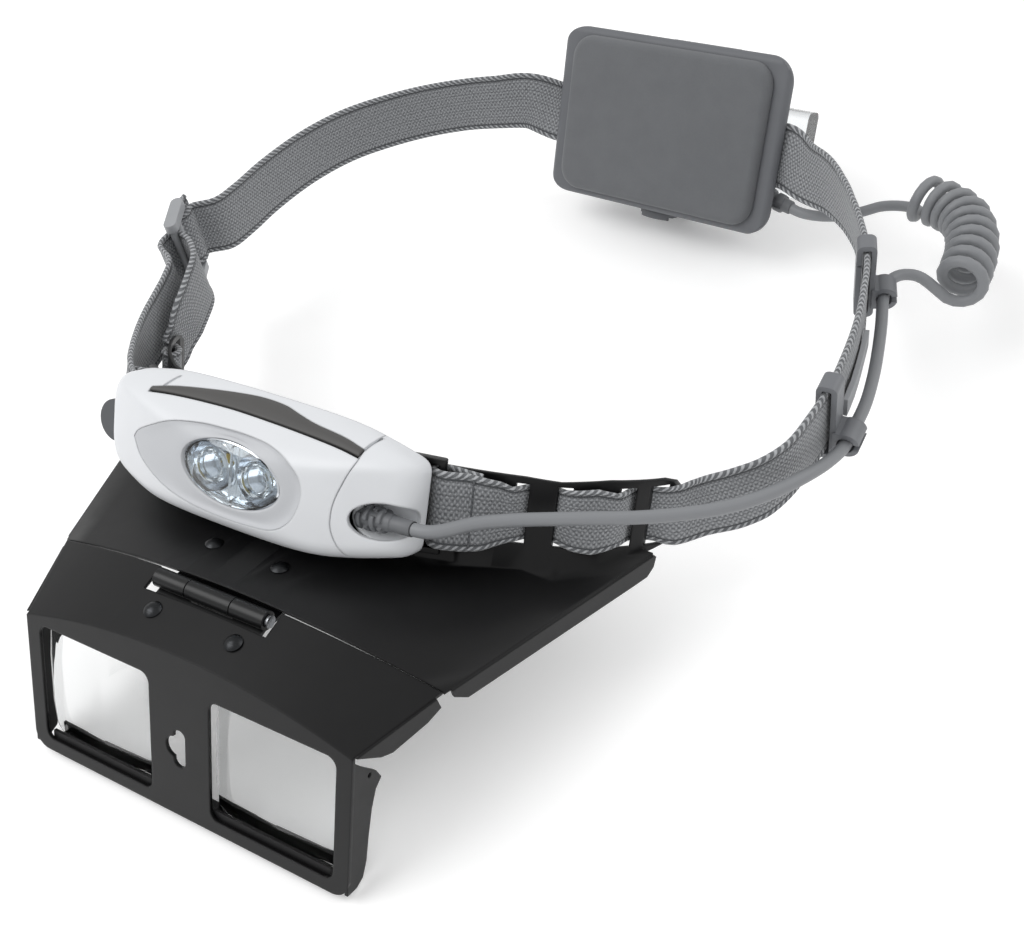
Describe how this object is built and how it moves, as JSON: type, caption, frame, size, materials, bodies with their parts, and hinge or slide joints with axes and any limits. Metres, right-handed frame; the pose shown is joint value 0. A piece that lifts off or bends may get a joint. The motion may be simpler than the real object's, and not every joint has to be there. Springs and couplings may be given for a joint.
{
  "type": "lighted headband magnifier",
  "caption": "A headband magnifier: a hinged black visor with clear lenses, a tilting lamp in front, elastic straps, a coiled cord and a battery box behind",
  "frame": {"origin": "centre of the headband ring at mid strap height", "axes": "+Z is the normal of the headband ring and up when worn, -Y is the way the wearer looks, +X is the wearer's left"},
  "size_m": [0.2671, 0.318, 0.0728],
  "materials": {
    "visor_black": "moulded black ABS with a fine satin grain",
    "hinge_black": "folded steel leaf, black baked paint",
    "rivet_black": "domed rivet head, black, worn bright at the crown",
    "pin_steel": "drawn steel wire",
    "lens_clear": "polished clear acrylic magnifying lens",
    "rail_black": "moulded black frame with a dull face",
    "strap_grey": "woven heather elastic with corded edges",
    "buckle_grey": "moulded light grey acetal",
    "clip_grey": "moulded mid grey nylon, soft sheen",
    "strip_grey": "extruded light grey strip",
    "cradle_black": "moulded black nylon bracket",
    "shell_white": "moulded white ABS, satin gloss",
    "back_grey": "moulded dark grey back half",
    "switch_grey": "soft dark grey push bar",
    "bezel_grey": "moulded pale grey bezel",
    "cover_clear": "clear oval lamp cover",
    "reflector_bright": "vacuum metallised cups",
    "board_white": "white lacquered circuit board",
    "phosphor_yellow": "yellow phosphor over the light chip",
    "sink_aluminium": "plain extruded aluminium plate",
    "relief_rubber": "ribbed soft grey sleeve",
    "cord_rubber": "soft grey cord jacket with a dull sheen",
    "box_grey": "moulded grey ABS, fine matte grain",
    "screw_steel": "plated pan head screw",
    "pad_foam": "closed cell foam pad",
    "cell_wrap": "plain shrink sleeve on a steel can",
    "contact_steel": "nickel plated spring steel",
    "window_clear": "clear moulded end window",
    "led_red": "red tinted diode body"
  },
  "bodies": {
    "band": {"rear_plate": "visor_black", "rear_hinge_leaf": "hinge_black", "hinge_pin": "pin_steel", "rear_rivets": "rivet_black", "strap_long": "strap_grey", "strap_loop": "strap_grey", "slide_buckle": "buckle_grey", "guide_strip": "strip_grey", "lamp_cradle": "cradle_black", "box_base": "box_grey", "base_screws": "screw_steel", "head_pad": "pad_foam", "battery_case": "box_grey", "lid_hinge_pin": "pin_steel", "latch_pin": "pin_steel", "cells": "cell_wrap", "spring_contacts": "contact_steel", "plate_contacts": "contact_steel", "rear_window": "window_clear", "rear_led": "led_red", "front_cord": "cord_rubber", "coil_cord": "cord_rubber", "rear_cord": "cord_rubber", "rear_plug": "relief_rubber"},
    "visor": {"lens_visor": "visor_black", "front_hinge_leaf": "hinge_black", "front_rivets": "rivet_black", "lens_rail": "rail_black", "left_lens": "lens_clear", "right_lens": "lens_clear"},
    "lamp": {"lamp_shell": "shell_white", "cord_end_cap": "shell_white", "lamp_back": "back_grey", "tilt_pins": "pin_steel", "lens_bezel": "bezel_grey", "lens_cover": "cover_clear", "reflector": "reflector_bright", "led_board": "board_white", "led_chips": "phosphor_yellow", "heat_sink": "sink_aluminium", "front_strain_relief": "relief_rubber"},
    "switch": {"switch_bar": "switch_grey"},
    "lid": {"battery_lid": "box_grey"},
    "latch": {"lid_latch": "box_grey"},
    "front_clip": {"front_cord_clip": "clip_grey"},
    "rear_clip": {"rear_cord_clip": "clip_grey"}
  },
  "joints": [
    {"name": "visor_flip", "type": "hinge", "parent": "band", "child": "visor", "pos_m": [-0.0027, -0.1502, 0.00578], "axis": [-1, 0, 0], "range_deg": [0, 100]},
    {"name": "lamp_tilt", "type": "hinge", "parent": "band", "child": "lamp", "pos_m": [-0.013, -0.12081, 0.00174], "axis": [1, 0, 0], "range_deg": [0, 15]},
    {"name": "switch_press", "type": "slide", "parent": "lamp", "child": "switch", "axis": [0, -0.5299, -0.848], "range_m": [0, 0.0008], "stiffness_N_per_m": 400},
    {"name": "lid_open", "type": "hinge", "parent": "band", "child": "lid", "pos_m": [0.01667, 0.12382, 0.01465], "axis": [0.992, -0.1193, 0.0408], "range_deg": [0, 105]},
    {"name": "latch_press", "type": "hinge", "parent": "band", "child": "latch", "pos_m": [0.0126, 0.0904, -0.03317], "axis": [-0.992, 0.1193, -0.0408], "range_deg": [0, 10], "stiffness_Nm_per_rad": 0.15},
    {"name": "front_clip_slide", "type": "slide", "parent": "band", "child": "front_clip", "axis": [-0.0174, 0.9998, 0], "range_m": [0, 0.003]},
    {"name": "rear_clip_slide", "type": "slide", "parent": "band", "child": "rear_clip", "axis": [-0.3338, 0.9426, 0], "range_m": [-0.003, 0]}
  ]
}
